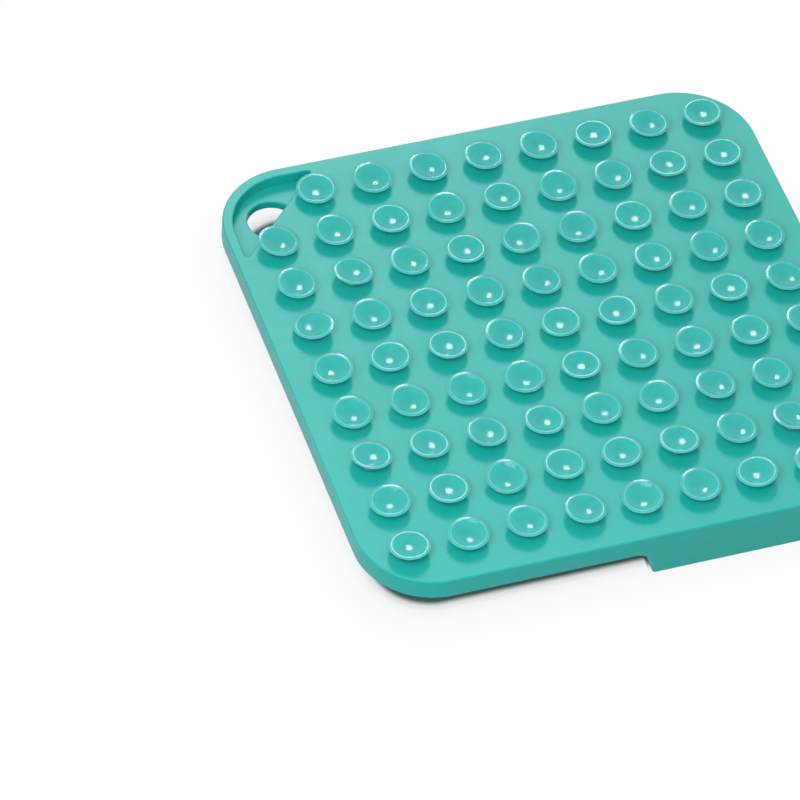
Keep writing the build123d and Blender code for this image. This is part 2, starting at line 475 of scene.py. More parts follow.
@dataclass(frozen=True)
class SiliconeFinish:
    """A moulded silicone surface, dyed through."""

    name: str
    dye_and_reflection: Colour  # the main colour, which on the cups also holds painted reflection
    deep_dye_and_reflection: Colour  # the colour where the dye lies thicker, which on the cups also holds painted reflection
    dust_and_sheen_share: float  # most that the film of dust and painted sheen covers
    roughness: float
    roughness_spread: float
    grain_size: float  # of the mould's fine texture, in metres
    grain_depth: float  # in metres
    ripple_depth: float = 0.0  # of the surface's slow unevenness, in metres
    lip_highlight_colour: Colour | None = None  # colour of the painted highlight and glow on thin edges, where a piece marks them
    dust_and_sheen: Colour = (0.30, 0.60, 0.56, 1.0)  # the pale film of dust that silicone draws, which also paints part of the sheen
    specular: float = 0.36
    glow_share: float = 0.5  # share of the light that spreads under the skin
    glow_radius: tuple[float, float, float] = (0.35, 1.0, 0.9)  # by colour
    glow_depth: float = 0.0022  # how far it spreads, in metres
    cloud_size: float = 0.035  # of the places where the dye lies thicker
    patch_size: float = 0.009  # of the patches of dust and painted sheen
    ripple_size: float = 0.0045
    speck_spacing: float = 0.004  # between the specks of dust
    speck_fade: Pairs = ((0.0, 1.0), (0.07, 0.0))  # by distance from a speck, in spacings
    speck_share: float = 0.4
    veil_fade: Pairs = ((0.42, 0.0), (0.75, 0.6))  # by the noise of the patches

    def material(self) -> Material:
        """Builds the finish.

        Returns:
            The material.
        """
        made = bpy.data.materials.new(self.name)
        made.use_nodes = True
        desk = NodeDesk(made.node_tree)
        place = desk.node("TexCoord", output="Object")
        clouds = self._noise(desk, place, self.cloud_size, 3.0)
        patches = self._noise(desk, place, self.patch_size, 4.0)
        grain = self._noise(desk, place, self.grain_size, 2.0)
        ripples = self._noise(desk, place, self.ripple_size, 0.0)
        film = self._dust_and_sheen_film(desk, place, patches)
        colour = desk.mix(clouds, self.dye_and_reflection, self.deep_dye_and_reflection)
        # A pale film of dust that also paints part of the sheen
        colour = desk.mix(film * self.dust_and_sheen_share, colour, self.dust_and_sheen)
        # Painted highlight and glow on the thin lip edges, where the mesh marks them
        if self.lip_highlight_colour:
            edges = desk.node("Attribute", {"attribute_name": LIP_HIGHLIGHT_MARK}, output="Fac")
            colour = desk.mix(edges, colour, self.lip_highlight_colour)
        rough = self.roughness + (patches - 0.5) * self.roughness_spread + film * (self.dust_and_sheen_share / 2)
        relief = grain * self.grain_depth + ripples * self.ripple_depth
        bump = desk.node("Bump", {}, {"Strength": 1.0, "Distance": 1.0, "Height": relief}, "Normal")
        surface = desk.node(
            "BsdfPrincipled",
            {},
            {
                "Base Color": colour,
                "Roughness": rough,
                "Normal": bump,
                "Specular IOR Level": self.specular,
                "Subsurface Weight": self.glow_share,
                "Subsurface Radius": self.glow_radius,
                "Subsurface Scale": self.glow_depth,
            },
        )
        desk.node("OutputMaterial", {}, {"Surface": surface})
        return made

    @staticmethod
    def _noise(desk: NodeDesk, place: Wire, size: float, detail: float) -> Wire:
        """Adds soft noise whose lumps have a size in metres.

        Args:
            desk: The material's desk.
            place: The coordinates.
            size: Width of a lump.
            detail: Octaves of finer noise.

        Returns:
            The wire of the noise, about 0 to 1.
        """
        return desk.node(
            "TexNoise",
            {"noise_dimensions": "3D"},
            {"Vector": place, "Scale": 1.0 / size, "Detail": detail, "Roughness": 0.55},
        )

    def _dust_and_sheen_film(self, desk: NodeDesk, place: Wire, patches: Wire) -> Wire:
        """Adds the film of dust, which also stands in as painted sheen: thin patches, with a few specks.

        Args:
            desk: The material's desk.
            place: The coordinates.
            patches: Noise that breaks up the film.

        Returns:
            The wire of the film's share, 0 to 1.
        """
        specks = desk.node(
            "TexVoronoi",
            {"feature": "F1"},
            {"Vector": place, "Scale": 1.0 / self.speck_spacing, "Randomness": 1.0},
        )
        veil = desk.ramp(patches, self.veil_fade)
        return veil + desk.ramp(specks, self.speck_fade) * self.speck_share


def anywhere(place: Vector) -> bool:
    """Passes every place."""
    return True


@dataclass
class Moulding:
    """The continuous body of the mat: sheet, borders, dividing wall and hanging corner."""

    frame: MatFrame
    corner_radius: float = MAT_CORNER
    corner_segments: int = 28
    step_lean: float = 0.0025  # how far the step leans, from the deep lip to the shallow lip
    step_foot: float = 0.0  # X where the step meets the floor
    step_radius: float = 0.006  # hollow rounding at the top of the step
    step_facets: int = 10
    tray_fillet: float = 0.0016  # hollow rounding along the tray floors
    fillet_facets: int = 5
    tray_corner: float = 0.0035  # rounding of the tray corners beside the dividing wall
    tab_floor: float = 0.0035  # thickness of the pocket's floor
    tab_wall: float = 0.0025  # thickness of the wall under the pocket's straight side
    hole_margin: float = 0.0034  # floor between the pocket's round side and the hole
    hole_ledge: float = 0.001  # floor between the pocket's straight side and the hole
    hole_rise: float = 0.0017  # from the hole's flat to the centre of its round side
    hole_corner: float = 0.0015
    hole_sides: int = 64  # of the whole round
    pocket_border: float = 0.0038  # width of the border beside the pocket
    pocket_end_round: float = 0.0025  # rounding of the pocket's two narrow ends
    pocket_edge_round: float = 0.0007
    back_edge_round: float = 0.0006
    lip_round: float = 0.001
    inner_lip_round: float = 0.0005
    hole_edge_round: float = 0.0006
    edge_facets: int = 4  # across the roundings of the outer edges
    spare: float = 0.004  # how far the cutters stand past the faces that they cut
    smooth_angle: float = math.radians(40)

    @property
    def inner_radius(self) -> float:
        """Corner radius inside the border."""
        return self.corner_radius - (self.frame.half - self.frame.inner_half)

    @property
    def pocket_line(self) -> float:
        """Y - X on the pocket's straight side."""
        return self.frame.tab_line + self.tab_wall * ROOT_TWO

    @property
    def pocket_floor(self) -> float:
        """Height of the pocket's floor."""
        return self.frame.tab_bottom + self.tab_floor

    def build(self) -> Object:
        """Models the moulding.

        Returns:
            The finished piece.
        """
        body = self._blank()
        for cutter in (
            self._step_cutter(),
            self._deep_tray_cutter(),
            self._shallow_tray_cutter(),
            self._tab_recess_cutter(),
            self._pocket_cutter(),
            self._hole_cutter(),
        ):
            Bench.cut(body, cutter)
        self._round_edges(body)
        Bench.smooth(body, self.smooth_angle)
        self._keep_flat(body)
        return body

    @staticmethod
    def _keep_flat(body: Object) -> None:
        """Weights the shading by the size of the faces, so that the large ones look flat.

        Args:
            body: The moulding, which is the active object.
        """
        weighted = body.modifiers.new("flat_faces", "WEIGHTED_NORMAL")
        weighted.mode = "FACE_AREA"
        weighted.weight = 100
        weighted.keep_sharp = True
        bpy.ops.object.modifier_apply(modifier=weighted.name)

    def _blank(self) -> Object:
        """Makes the square block with its four rounded corners."""
        half = self.frame.half
        body = Bench.block(
            "mat_moulding", (-half, -half, self.frame.deep_lip), (half, half, self.frame.back_face)
        )
        self._round_upright(body, self.corner_radius, anywhere)
        return body

    def _round_upright(self, piece: Object, radius: float, test: Callable[[Vector], bool]) -> None:
        """Rounds the upright edges of a block.

        Args:
            piece: The block.
            radius: Radius of the rounding.
            test: Takes the place of an edge's end, and says whether that edge is rounded.
        """

        def upright(edge: Edge) -> bool:
            """Whether an edge is upright and passes the test."""
            first, second = (vertex.co for vertex in edge.verts)
            return (first - second).to_2d().length < HAIR and test(first)

        Bench.round_edges(piece, upright, radius, self.corner_segments)

    def _round_level(self, piece: Object, height: float, radius: float) -> None:
        """Rounds the level edges of a block that lie at a height.

        Args:
            piece: The block.
            height: Height of the edges.
            radius: Radius of the rounding.
        """

        def level(edge: Edge) -> bool:
            """Whether both ends of an edge are at the height."""
            return all(abs(vertex.co.z - height) < HAIR for vertex in edge.verts)

        Bench.round_edges(piece, level, radius, self.fillet_facets)

    def _step_cutter(self) -> Object:
        """Makes what is missing under the shallow half, with the leaning face of the step."""
        far = self.frame.half + self.spare
        deep_lip, shallow_lip = self.frame.deep_lip, self.frame.shallow_lip
        lean_rate = self.step_lean / (shallow_lip - deep_lip)
        foot = self.step_foot + lean_rate * self.spare
        cutter = Bench.block("step_cutter", (-far, -far, deep_lip - self.spare), (foot, far, shallow_lip))
        corner_x = self.step_foot - self.step_lean
        round_start = self.step_radius * math.tan((math.pi / 2 - math.atan(lean_rate)) / 2)
        Bench.edit(cutter)
        Bench.pick(cutter, Element.VERT, lambda vertex: vertex.co.x > 0 and vertex.co.z > deep_lip)
        bpy.ops.transform.translate(value=(corner_x - foot, 0.0, 0.0))
        Bench.close()

        def along_top(edge: Edge) -> bool:
            """Whether an edge lies along the top of the step."""
            ends = [vertex.co for vertex in edge.verts]
            return all(abs(end.x - corner_x) < HAIR and end.z > deep_lip for end in ends)

        Bench.round_edges(cutter, along_top, round_start, self.step_facets)
        return cutter

    def _deep_tray_cutter(self) -> Object:
        """Makes the hollow of the deep half."""
        reach = self.frame.inner_half
        cutter = Bench.block(
            "deep_tray_cutter",
            (self.frame.divider_side, -reach, self.frame.deep_lip - self.spare),
            (reach, reach, self.frame.sheet_bottom),
        )
        self._round_upright(cutter, self.inner_radius, lambda place: place.x > reach - HAIR)
        self._round_upright(cutter, self.tray_corner, lambda place: place.x < self.frame.divider_side + HAIR)
        self._round_level(cutter, self.frame.sheet_bottom, self.tray_fillet)
        return cutter

    def _shallow_block(self, name: str, low_z: float, high_z: float, wider: float = 0.0) -> Object:
        """Makes a block that fills the shallow tray's outline.

        Args:
            name: Name of the block.
            low_z: Height of its lower face.
            high_z: Height of its upper face.
            wider: How far it reaches into the border.

        Returns:
            The block, with its corners rounded.
        """
        reach = self.frame.inner_half + wider
        block = Bench.block(name, (-reach, -reach, low_z), (self.frame.step_end, reach, high_z))
        self._round_upright(block, self.inner_radius + wider, lambda place: place.x < -reach + HAIR)
        self._round_upright(block, self.tray_corner, lambda place: place.x > self.frame.step_end - HAIR)
        return block

    def _shallow_tray_cutter(self) -> Object:
        """Makes the hollow of the shallow half, short of the hanging corner."""
        cutter = self._shallow_block(
            "shallow_tray_cutter", self.frame.shallow_lip - self.spare, self.frame.sheet_bottom
        )
        self._cut_corner(cutter, self.frame.tab_line, keep_corner=False)
        self._round_level(cutter, self.frame.sheet_bottom, self.tray_fillet)
        return cutter

    def _tab_recess_cutter(self) -> Object:
        """Makes the shallow hollow under the hanging corner's floor."""
        cutter = self._shallow_block(
            "tab_recess_cutter", self.frame.shallow_lip - self.spare, self.frame.tab_bottom
        )
        self._cut_corner(cutter, self.frame.tab_line - self.spare, keep_corner=True)
        return cutter

    def _pocket_cutter(self) -> Object:
        """Makes the hollow of the pocket, which opens on the back face."""
        wider = self.frame.half - self.frame.inner_half - self.pocket_border
        top = self.frame.back_face + self.spare
        cutter = self._shallow_block("pocket_cutter", self.pocket_floor, top, wider)
        self._cut_corner(cutter, self.pocket_line, keep_corner=True)
        self._round_upright(
            cutter, self.pocket_end_round, lambda place: abs(place.y - place.x - self.pocket_line) < HAIR
        )
        return cutter

    @staticmethod
    def _cut_corner(piece: Object, line: float, keep_corner: bool) -> None:
        """Cuts a block across the hanging corner.

        Args:
            piece: The block.
            line: Y - X on the cut.
            keep_corner: Whether the corner is kept, or the rest.
        """
        outwards = -TO_HANG_CORNER if keep_corner else TO_HANG_CORNER
        Bench.keep_side(piece, TO_HANG_CORNER * (line / ROOT_TWO), outwards)

    def _hole_cutter(self) -> Object:
        """Makes the D-shaped hole: a round bar with a flat."""
        corner_diagonal = self.frame.half * ROOT_TWO
        flat_at = self.pocket_line / ROOT_TWO + self.hole_ledge
        centre_at = flat_at + self.hole_rise
        pocket_end = corner_diagonal - self.corner_radius * ROOT_TWO + self.inner_radius
        radius = pocket_end - self.hole_margin - centre_at
        low, high = self.frame.tab_bottom - self.spare, self.pocket_floor + self.spare
        bar = Bench.prism("hole_cutter", self.hole_sides, radius, low, high)
        Bench.keep_side(bar, TO_HANG_CORNER * -self.hole_rise, -TO_HANG_CORNER)
        self._round_upright(
            bar, self.hole_corner, lambda place: abs(place.dot(TO_HANG_CORNER) + self.hole_rise) < HAIR
        )
        Bench.edit(bar)
        bpy.ops.transform.translate(value=TO_HANG_CORNER * centre_at)
        Bench.close()
        return bar

    def _round_edges(self, body: Object) -> None:
        """Rounds the moulding's outer edges: round the back face, along the lips and round the hole.

        Args:
            body: The carved moulding.
        """
        back = (self.frame.back_face, self.frame.back_face)
        lips = (self.frame.deep_lip, self.frame.shallow_lip)
        bands = (
            (back, self.back_edge_round, self._on_outline),
            (back, self.pocket_edge_round, anywhere),
            ((self.frame.tab_bottom, self.pocket_floor), self.hole_edge_round, anywhere),
            (lips, self.lip_round, self._on_lip),
            (lips, self.inner_lip_round, anywhere),
        )
        Bench.edit(body)
        bpy.ops.mesh.remove_doubles(threshold=HAIR)
        Bench.close()
        for (low, high), radius, test in bands:

            def outer_edge(edge: Edge) -> bool:
                """Whether an edge is sharp, faces outwards, lies within the band and passes its test."""
                ends = [vertex.co for vertex in edge.verts]
                within = all(low - HAIR <= end.z <= high + HAIR and test(end) for end in ends)
                return within and edge.is_convex and edge.calc_face_angle(0.0) > self.smooth_angle

            Bench.round_edges(body, outer_edge, radius, self.edge_facets)

    def _on_outline(self, place: Vector) -> bool:
        """Whether a place is on the mat's outline and not inside its border."""
        straight = self.frame.half - self.corner_radius
        past = Vector((max(abs(place.x) - straight, 0.0), max(abs(place.y) - straight, 0.0)))
        return past.length > (self.corner_radius + self.inner_radius) / 2

    def _on_lip(self, place: Vector) -> bool:
        """Whether a place is on the mat's outline or on the nose of the step."""
        return self._on_outline(place) or abs(place.x - self.step_foot) < HAIR


@dataclass
class SuctionCups:
    """The suction cups, in rows along X from the back edge to the front."""

    frame: MatFrame
    rows: int = 9
    columns: int = 9
    segments: int = 44
    sunk: float = 0.0002  # how far the roots reach into the sheet
    neck_ring: int = 3  # index of the ring of the outside that a cup tilts above
    tilt_spread: float = math.radians(2.7)
    tilt_most: float = math.radians(6.0)
    oval_most: float = 0.012
    seed: int = 41
    smooth_angle: float = math.radians(60)
    # Outside of a cup from its root to its lip: pairs of radius and height over the back face
    outside: Pairs = (
        (0.00420, 0.0),
        (0.00388, 0.00018),
        (0.00370, 0.00050),
        (0.00365, 0.00095),
        (0.00380, 0.00138),
        (0.00440, 0.00190),
        (0.00530, 0.00243),
        (0.00620, 0.00286),
        (0.00680, 0.00311),
        (0.00717, 0.00331),
        (0.00725, 0.00335),
    )
    # The lip's crown, which falls outwards, from its outer edge to the slope of the dish: radius, height over
    # the back face and how much painted highlight it gets
    crown: tuple[tuple[float, float, float], ...] = (
        (0.00725, 0.003362, 0.0),
        (0.00723, 0.003402, 0.0),
        (0.00718, 0.003440, 0.5),
        (0.00712, 0.003469, 1.0),
        (0.00695, 0.003499, 0.4),
        (0.00675, 0.003533, 0.1),
        (0.00655, 0.003566, 0.1),
        (0.00642, 0.003587, 0.3),
        (0.00632, 0.003597, 0.8),
        (0.00622, 0.003600, 1.0),
        (0.00613, 0.003597, 1.0),
        (0.00605, 0.003588, 0.9),
        (0.00597, 0.003571, 0.5),
        (0.00588, 0.003542, 0.2),
        (0.00578, 0.003498, 0.0),
        (0.00566, 0.003433, 0.0),
    )
    dish_bottom_radius: float = 0.016  # of the round bottom of the dish
    dish_slope: float = 0.62  # rise of the dish where it meets the crown
    dish_rings: int = 8

    def build(self) -> list[Object]:
        """Models the rows.

        Returns:
            One piece for each row, from the back edge to the front.
        """
        cup = self._cup()
        dice = random.Random(self.seed)
        made = []
        for row in range(1, self.rows + 1):
            node = f"suction_cup_row_{row}"
            cups = [self._settled_copy(cup, place, dice) for place in self._places(node)]
            piece = Bench.join(f"cup_row_{row}", cups)
            made.append(piece)
        Bench.discard(cup)
        return made

    def _places(self, node: str) -> list[Vector]:
        """Works out the centres of a row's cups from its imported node.

        Args:
            node: Name of the row's node.

        Returns:
            The centres on the back face, from the first cup to the last.
        """
        low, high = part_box(node)
        lip = (high.y - low.y) / 2
        full_low, full_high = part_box(f"suction_cup_row_{self.rows}")
        pitch = (full_high.x - full_low.x - 2 * lip) / (self.columns - 1)
        count = round((high.x - low.x - 2 * lip) / pitch) + 1
        y = (low.y + high.y) / 2
        return [Vector((low.x + lip + index * pitch, y, self.frame.back_face)) for index in range(count)]

    def _cup(self) -> Object:
        """Models one cup at the origin, ring by ring from its root to the middle of its dish."""
        first_radius, _ = self.outside[0]
        Bench.clear()
        bpy.ops.mesh.primitive_circle_add(
            vertices=self.segments, radius=first_radius, fill_type="NGON", location=(0.0, 0.0, -self.sunk)
        )
        cup = Bench.settle("cup_model")
        Bench.edit(cup)
        bpy.ops.mesh.flip_normals()
        Bench.pick(cup, Element.EDGE, lambda edge: True)
        radius, height = first_radius, -self.sunk
        lip = [(lip_radius, lip_height) for lip_radius, lip_height, _ in self.crown]
        for next_radius, next_height in (*self.outside, *lip, *self._dish()):
            rise = (0.0, 0.0, next_height - height)
            bpy.ops.mesh.extrude_edges_move(TRANSFORM_OT_translate={"value": rise})
            share = next_radius / radius
            bpy.ops.transform.resize(value=(share, share, 1.0), center_override=(0.0, 0.0, next_height))
            radius, height = next_radius, next_height
        bpy.ops.mesh.merge(type="CENTER")
        bpy.ops.mesh.select_all(action="SELECT")
        bpy.ops.mesh.normals_make_consistent(inside=False)
        Bench.close()
        self._paint_lip_highlight(cup)
        Bench.smooth(cup, self.smooth_angle)
        return cup

    def _paint_lip_highlight(self, cup: Object) -> None:
        """Marks how much painted highlight and glow the lip gets, ring by ring of its crown.

        Args:
            cup: The model of a cup.
        """
        mark = cup.data.attributes.new(LIP_HIGHLIGHT_MARK, "FLOAT", "POINT")
        for vertex, share in zip(cup.data.vertices, mark.data):
            for radius, height, pale in self.crown:
                if math.hypot(vertex.co.xy.length - radius, vertex.co.z - height) < HAIR:
                    share.value = pale

    def _dish(self) -> list[tuple[float, float]]:
        """Works out the rings of the dish, a bowl with a round bottom and steeper sides.

        Returns:
            Pairs of radius and height, from the crown to the middle.
        """
        rim_radius, rim_height, _ = self.crown[-1]
        steeper = (self.dish_slope - rim_radius / self.dish_bottom_radius) / (4 * rim_radius**3)

        def rise(radius: float) -> float:
            """Height over the middle of the dish."""
            return radius**2 / (2 * self.dish_bottom_radius) + steeper * radius**4

        radii = [rim_radius * (1.0 - ring / (self.dish_rings + 1)) for ring in range(1, self.dish_rings + 1)]
        return [(radius, rim_height - rise(rim_radius) + rise(radius)) for radius in radii]

    def _settled_copy(self, cup: Object, place: Vector, dice: random.Random) -> Object:
        """Copies the cup to its place, a little tilted and out of round as soft cups are.

        Args:
            cup: The model of a cup.
            place: Where its root stands.
            dice: Source of the small differences.

        Returns:
            The copy.
        """
        tilt_x, tilt_y = (
            max(-self.tilt_most, min(self.tilt_most, dice.gauss(0.0, self.tilt_spread))) for _ in range(2)
        )
        oval = dice.uniform(-self.oval_most, self.oval_most)
        turn = dice.uniform(0.0, math.pi)
        twin = Bench.copy_at(cup, place)
        _, neck = self.outside[self.neck_ring]
        pivot = place + Vector((0.0, 0.0, neck))
        Bench.edit(twin)
        Bench.pick(twin, Element.VERT, lambda vertex: vertex.co.z > pivot.z + HAIR)
        for axis, angle in ((Axis.X, tilt_x), (Axis.Y, tilt_y), (Axis.Z, turn)):
            bpy.ops.transform.rotate(value=angle, orient_axis=axis.name, center_override=pivot)
        bpy.ops.transform.resize(value=(1.0 + oval, 1.0 - oval, 1.0), center_override=pivot)
        bpy.ops.transform.rotate(value=-turn, orient_axis=Axis.Z.name, center_override=pivot)
        Bench.close()
        return twin


@dataclass
class LickTextures:
    """The raised textures of the licking side, which hang from the tray floors."""

    frame: MatFrame
    sunk: float = 0.0003  # how far they reach into the sheet
    draft: float = 0.9  # width at the tips, as a share of the width at the sheet
    smooth_angle: float = math.radians(50)
    round_facets: int = 3  # across the rounding of the tips
    bar_round: float = 0.28  # radius of the rounding, as a share of a bar's width
    cross_round: float = 0.25  # the same for the crosses
    stud_round: float = 0.18  # the same for studs and posts, as a share of their radius
    ridges: int = 7
    ridge_width: float = 0.003
    cross_columns: int = 5
    cross_rows: int = 4
    cross_span: float = 0.010
    cross_bar: float = 0.003
    stud_columns: int = 6
    stud_rows: int = 5
    stud_sides: int = 4
    stud_radius: float = 0.0042
    stud_clearance: float = 0.002  # between the studs and the hanging corner's wall
    post_columns: int = 5
    post_rows: int = 4
    post_sides: int = 6
    post_turn: float = math.radians(30)
    post_radius: float = 0.0048
    chevron_columns: int = 2
    chevron_rows: int = 5
    chevron_half_span: float = 0.017
    chevron_rise: float = 0.006
    chevron_bar: float = 0.0036
    bar_columns: int = 3
    bar_rows: int = 5
    bar_length: float = 0.018
    bar_width: float = 0.0036

    def build(self) -> dict[str, Object]:
        """Models the six zones.

        Returns:
            The pieces by the name of the node that each stands for.
        """
        return {
            "lick_ridges": self._ridges(),
            "lick_crosses": self._crosses(),
            "lick_studs": self._studs(),
            "feeder_posts": self._posts(),
            "feeder_chevrons": self._chevrons(),
            "feeder_bars": self._bars(),
        }

    @staticmethod
    def _line(low: float, high: float, size: float, count: int) -> list[float]:
        """Spaces like things evenly between two ends.

        Args:
            low: Where the first one begins.
            high: Where the last one ends.
            size: Size of each.
            count: Number of them.

        Returns:
            Their middles.
        """
        step = (high - low - size) / (count - 1)
        return [low + size / 2 + index * step for index in range(count)]

    def _heights(self, node: str) -> tuple[float, float]:
        """Heights of a zone's tips and of its roots inside the sheet."""
        low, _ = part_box(node)
        return low.z, self.frame.sheet_bottom + self.sunk

    def _bar_model(self, node: str, length: float, width: float) -> Object:
        """Models a straight tapered bar at the origin of its zone.

        Args:
            node: The zone's node, which gives the heights.
            length: Length along X, at the sheet.
            width: Width along Y, at the sheet.

        Returns:
            The model.
        """
        tip, root = self._heights(node)
        model = Bench.block(f"{node}_model", (-length / 2, -width / 2, tip), (length / 2, width / 2, root))
        self._taper(model, width * (1 - self.draft))
        self._soften(model, width * self.bar_round)
        return model

    def _taper(self, model: Object, less: float) -> None:
        """Narrows a model towards its tip.

        Args:
            model: The model, in object mode.
            less: How much narrower the tip is, all over.
        """
        size = model.dimensions
        Bench.edit(model)
        Bench.pick(model, Element.VERT, lambda vertex: vertex.co.z < self.frame.sheet_bottom - HAIR)
        bpy.ops.transform.resize(
            value=(1 - less / size.x, 1 - less / size.y, 1.0), center_override=(0.0, 0.0, 0.0)
        )
        Bench.close()

    def _soften(self, model: Object, radius: float) -> None:
        """Rounds the tip and the sides of a model.

        Args:
            model: The model, in object mode.
            radius: Radius of the rounding.
        """

        def below_sheet(edge: Edge) -> bool:
            """Whether an edge faces outwards and has an end below the sheet."""
            lowest = min(vertex.co.z for vertex in edge.verts)
            return lowest < self.frame.sheet_bottom - HAIR and edge.is_convex

        Bench.round_edges(model, below_sheet, radius, self.round_facets)

    def _spread(self, name: str, model: Object, places: list[tuple[float, float]]) -> Object:
        """Copies a model to its places and joins the copies.

        Args:
            name: Name of the joined piece.
            model: The model, which is used up.
            places: X and Y of the copies.

        Returns:
            The joined piece.
        """
        Bench.smooth(model, self.smooth_angle)
        copies = [Bench.copy_at(model, (x, y, 0.0)) for x, y in places]
        Bench.discard(model)
        return Bench.join(name, copies)

    def _grid(
        self, node: str, size: tuple[float, float], columns: int, rows: int
    ) -> list[tuple[float, float]]:
        """Works out a zone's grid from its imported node.

        Args:
            node: The zone's node.
            size: Size of each thing along X and Y.
            columns: Number along X.
            rows: Number along Y.

        Returns:
            The places of the things.
        """
        low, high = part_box(node)
        across = self._line(low.x, high.x, size[0], columns)
        along = self._line(low.y, high.y, size[1], rows)
        return [(x, y) for y in along for x in across]

    def _ridges(self) -> Object:
        """Models the long ridges."""
        low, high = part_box("lick_ridges")
        length = high.x - low.x
        model = self._bar_model("lick_ridges", length, self.ridge_width)
        rows = self._line(low.y, high.y, self.ridge_width, self.ridges)
        return self._spread("ridge_zone", model, [((low.x + high.x) / 2, y) for y in rows])

    def _crosses(self) -> Object:
        """Models the crosses: a small block whose four sides are drawn out."""
        tip, root = self._heights("lick_crosses")
        arm = self.cross_bar / 2
        model = Bench.block("cross_model", (-arm, -arm, tip), (arm, arm, root))
        Bench.edit(model)
        Bench.pick(model, Element.FACE, lambda face: abs(face.normal.z) < HAIR)
        bpy.ops.mesh.extrude_faces_move(TRANSFORM_OT_shrink_fatten={"value": self.cross_span / 2 - arm})
        Bench.close()
        self._soften(model, self.cross_bar * self.cross_round)
        places = self._grid(
            "lick_crosses", (self.cross_span, self.cross_span), self.cross_columns, self.cross_rows
        )
        return self._spread("cross_zone", model, places)

    def _stud_model(self, node: str, sides: int, radius: float, turn: float) -> Object:
        """Models a many-sided tapered stud at the origin of its zone.

        Args:
            node: The zone's node, which gives the heights.
            sides: Number of sides.
            radius: Distance from its axis to its corners, at the sheet.
            turn: Angle that it is turned by.

        Returns:
            The model.
        """
        model = Bench.prism(f"{node}_model", sides, radius, *self._heights(node))
        Bench.edit(model)
        bpy.ops.transform.rotate(value=turn, orient_axis=Axis.Z.name, center_override=(0.0, 0.0, 0.0))
        Bench.close()
        self._taper(model, radius * 2 * (1 - self.draft))
        self._soften(model, radius * self.stud_round)
        return model

    def _studs(self) -> Object:
        """Models the diamond studs, clear of the hanging corner."""
        model = self._stud_model("lick_studs", self.stud_sides, self.stud_radius, 0.0)
        size = (2 * self.stud_radius, 2 * self.stud_radius)
        limit = self.frame.tab_line - (self.stud_radius + self.stud_clearance) * ROOT_TWO
        places = self._grid("lick_studs", size, self.stud_columns, self.stud_rows)
        return self._spread("stud_zone", model, [(x, y) for x, y in places if y - x <= limit])

    def _posts(self) -> Object:
        """Models the six-sided posts."""
        model = self._stud_model("feeder_posts", self.post_sides, self.post_radius, self.post_turn)
        size = (2 * self.post_radius, math.sqrt(3) * self.post_radius)  # over corners and over flats
        places = self._grid("feeder_posts", size, self.post_columns, self.post_rows)
        return self._spread("post_zone", model, places)

    def _chevrons(self) -> Object:
        """Models the chevron walls: a bar whose middle is drawn back."""
        tip, root = self._heights("feeder_chevrons")
        foot = (self.chevron_rise + self.chevron_bar) / 2
        span = self.chevron_half_span
        model = Bench.block("chevron_model", (-span, -foot, tip), (span, self.chevron_bar - foot, root))
        Bench.edit(model)
        bpy.ops.mesh.bisect(plane_co=(0.0, 0.0, 0.0), plane_no=Axis.X.value)
        Bench.pick(model, Element.VERT, lambda vertex: abs(vertex.co.x) < HAIR)
        bpy.ops.transform.translate(value=(0.0, self.chevron_rise, 0.0))
        Bench.close()
        self._soften(model, self.chevron_bar * self.bar_round)
        size = (2 * span, self.chevron_rise + self.chevron_bar)
        places = self._grid("feeder_chevrons", size, self.chevron_columns, self.chevron_rows)
        return self._spread("chevron_zone", model, places)

    def _bars(self) -> Object:
        """Models the short bars, which go to the two ends of their columns in turn."""
        low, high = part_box("feeder_bars")
        model = self._bar_model("feeder_bars", self.bar_length, self.bar_width)
        share = (high.x - low.x) / self.bar_columns
        places = []
        for row, y in enumerate(self._line(low.y, high.y, self.bar_width, self.bar_rows)):
            for column in range(self.bar_columns):
                left = low.x + column * share
                shift = share - self.bar_length if row % 2 else 0.0
                places.append((left + shift + self.bar_length / 2, y))
        return self._spread("bar_zone", model, places)


@dataclass(frozen=True)
class Softbox:
    """A rectangular soft light that faces the middle of the floor."""

    name: str
    azimuth: float  # 0 is the front
    elevation: float
    distance: float
    width: float
    height: float
    power: float  # in watts


